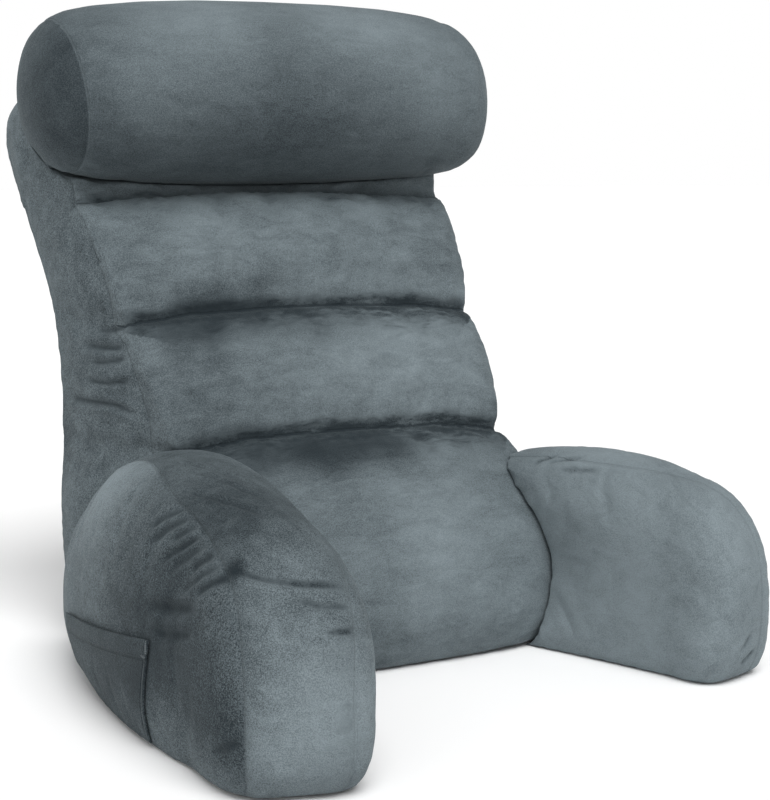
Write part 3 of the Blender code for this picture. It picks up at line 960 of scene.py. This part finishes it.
# %% The roll, finished
# The pale places high on the roll and at its right end are painted light from above, and the dark places low on its
# front and on its left cap are painted shade.
ROLL_TONES_AND_LIGHT = (
    (0, 0, 13, 50, 99, -0.32),
    (1, -9, 8, 57, 9, 0.50),
    (1, 8, 8, 57, 9, 0.46),
    (1, 18, 6, 50, 6, 0.22),
    (-1, -23, 9, 49, 9, -0.26),
    (1, 0, 8, 43, 8, -0.08),
    (1, -2, 5.5, 51, 9, -0.15),
)
ROLL_FULLER = (
    (18.0, 9.0, 45.0, 5.0, 4.0),
    (21.0, 8.5, 44.0, 4.0, 6.0),
    (17.0, 9.0, 55.0, 6.0, 3.0),
    (-4.0, 12.0, 58.0, 14.0, 3.0),
    (10.0, 11.0, 58.0, 8.0, 2.0),
)
roll_side = side_of(roll, roll_seams[0][0])
fill_out(roll, ROLL_FULLER)
press_seams(roll, roll_seams)
keep_clear(roll, back)
roll_nap_and_light, smooth = nap_and_light_of(roll, roll_side, ROLL_TONES_AND_LIGHT), np.zeros(len(roll_side))
finish_cushion(roll, "neck_roll", sleek_velvet, roll_nap_and_light, crease_and_shade=smooth, rough=smooth)

# %% [markdown]
# ## The pocket
# A flat patch of the same velvet, sewn low on the outside of the near arm along its front, its
# foot and its rear. Its top edge is folded over into a hem and stays open, so it stands a
# little away from the arm. The patch is a grid that is thrown sideways onto the finished arm and
# lifted a hair off it, because a real patch takes the shape of what it is sewn to. Its thickness
# grows outward from there.

# %% Pocket
POCKET_REAR, POCKET_FOOT = -4.9, 0.5            # cm, in y and in z
POCKET_FRONT_LOW, POCKET_FRONT_HIGH = -24.0, -26.4
POCKET_HEM_REAR, POCKET_HEM_FRONT = 6.2, 8.9    # heights of the open edge
POCKET_CLOTH, HEM_WIDTH, EDGE_STITCH = 0.0015, 0.015, 0.004
PATCH_LIFT = 0.0008                             # off the arm, and once more for the folded hem
POCKET_GAPE, GAPE_DEPTH = 0.0022, 0.016         # how far the open edge stands off, and how far down
THROWN_FROM = -0.45                             # x, well to the left of the arm


def pocket_place(u, v):
    """y and z in metres at shares u of the way to the front and v of the way up."""
    front = POCKET_FRONT_LOW + v * (POCKET_FRONT_HIGH - POCKET_FRONT_LOW)
    hem = POCKET_HEM_REAR + u * (POCKET_HEM_FRONT - POCKET_HEM_REAR)
    return (POCKET_REAR + u * (front - POCKET_REAR)) * CM, (POCKET_FOOT + v * (hem - POCKET_FOOT)) * CM


def thrown_onto(surface, y, z):
    """Where a point that moves to the right meets the surface, and the surface's direction there."""
    return surface.ray_cast(Vector((THROWN_FROM, y, z)), Vector((1, 0, 0)))[:2]


# %% The pocket's patch
arm_surface = surface_of(left_arm)
patch = bmesh.new()
bmesh.ops.create_grid(patch, x_segments=90, y_segments=36, size=0.5)
stitches, piles_and_shade = [], []
for vert in patch.verts:
    u, v = vert.co.x + 0.5, vert.co.y + 0.5
    y, z = pocket_place(u, v)
    below_edge = pocket_place(u, 1.0)[1] - z
    behind_front = y - pocket_place(1.0, v)[0]
    hit, normal = thrown_onto(arm_surface, y, z)
    gape = POCKET_GAPE * math.sin(math.pi * min(1, u * 1.05)) ** 2 * math.exp(-below_edge / GAPE_DEPTH)
    hem = PATCH_LIFT * (0.5 + 0.5 * math.tanh((HEM_WIDTH - below_edge) / PATCH_LIFT))
    vert.co = hit + normal * (PATCH_LIFT + gape + hem)
    to_hem, to_edge = below_edge - HEM_WIDTH, behind_front - EDGE_STITCH
    nearest = to_hem if abs(to_hem) < abs(to_edge) else to_edge
    stitches.append((nearest, y + z, abs(nearest)))
    # The pocket's velvet is painted darker, as painted shade on the arm's low outer side; it is darker still near the
    # front corner and paler at the rear.
    dark_corner = math.exp(-(((u - 0.93) / 0.07) ** 2) - ((v - 0.62) / 0.28) ** 2)
    pale_rear = math.exp(-(((u - 0.35) / 0.22) ** 2))
    piles_and_shade.append((-0.62 - 0.4 * (dark_corner - 0.4 * pale_rear), 0.0, ARM_ROUGH["arm_left"]))
pocket = bpy.data.objects.new("pocket_patch", bpy.data.meshes.new("pocket_patch"))
patch.to_mesh(pocket.data)
patch.free()
scene.collection.objects.link(pocket)
note(pocket, "seam", np.array(stitches))
note(pocket, "seam_wear_and_shade", np.tile((0.0, 0.1, 0.35), (len(stitches), 1)))
note(pocket, "pile_painted_light_and_shade", np.array(piles_and_shade))

# %% The pocket's thickness
cloth = pocket.modifiers.new("cloth", "SOLIDIFY")
cloth.thickness = POCKET_CLOTH
cloth.offset = 1.0
apply_modifiers(pocket)
pocket.data.materials.append(plush_velvet)
pocket.data.shade_smooth()
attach(pocket, "root")
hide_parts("pocket")
pocket_x = points_of(pocket)[:, 0]
print("the pocket reaches from x", round(float(pocket_x.min()), 4), "to", round(float(pocket_x.max()), 4))

# %% [markdown]
# The pocket's front corner takes the pull of a hand, so it is locked with a bar tack: a dozen
# zigzag stitches on top of each other. Here it is two short ridges of thread.

# %% Bar tack
THREAD = (0.10, 0.125, 0.135, 1)
# each ridge's place on the pocket, as shares of its length and height, and half its size in metres
TACKS = (
    ((0.994, 0.93), (0.0010, 0.0010, 0.0055)),
    ((0.978, 0.845), (0.0010, 0.0042, 0.0010)),
)

thread = Finish("tack_thread")
thread_place = thread.node("TexCoord", output=3)
twist = thread.node(
    "TexWave", {"wave_type": "BANDS", "bands_direction": "DIAGONAL"}, {"Vector": thread_place, "Scale": 420.0},
)
strands = thread.node("Bump", {}, {"Strength": 0.6, "Distance": 0.0004, "Height": twist})
thread.feed(thread.shader.inputs["Base Color"], thread.blend(twist, DEEP_AND_SHADE, THREAD))
thread.feed(thread.shader.inputs["Normal"], strands)
thread.feed(thread.shader.inputs["Roughness"], 0.7)

# %% The tack's two ridges
pocket_surface = surface_of(pocket)
tack = bmesh.new()
for (u, v), half in TACKS:
    y, z = pocket_place(u, v)
    hit, _ = thrown_onto(pocket_surface, y, z)
    made = bmesh.ops.create_uvsphere(tack, u_segments=16, v_segments=10, radius=1.0)["verts"]
    bmesh.ops.scale(tack, verts=made, vec=half)
    bmesh.ops.translate(tack, verts=made, vec=hit)
bar_tack = bpy.data.objects.new("bar_tack", bpy.data.meshes.new("bar_tack"))
tack.to_mesh(bar_tack.data)
tack.free()
scene.collection.objects.link(bar_tack)
bar_tack.data.materials.append(thread.material)
bar_tack.data.shade_smooth()
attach(bar_tack, "root")
print("the tack has", len(bar_tack.data.polygons), "faces")
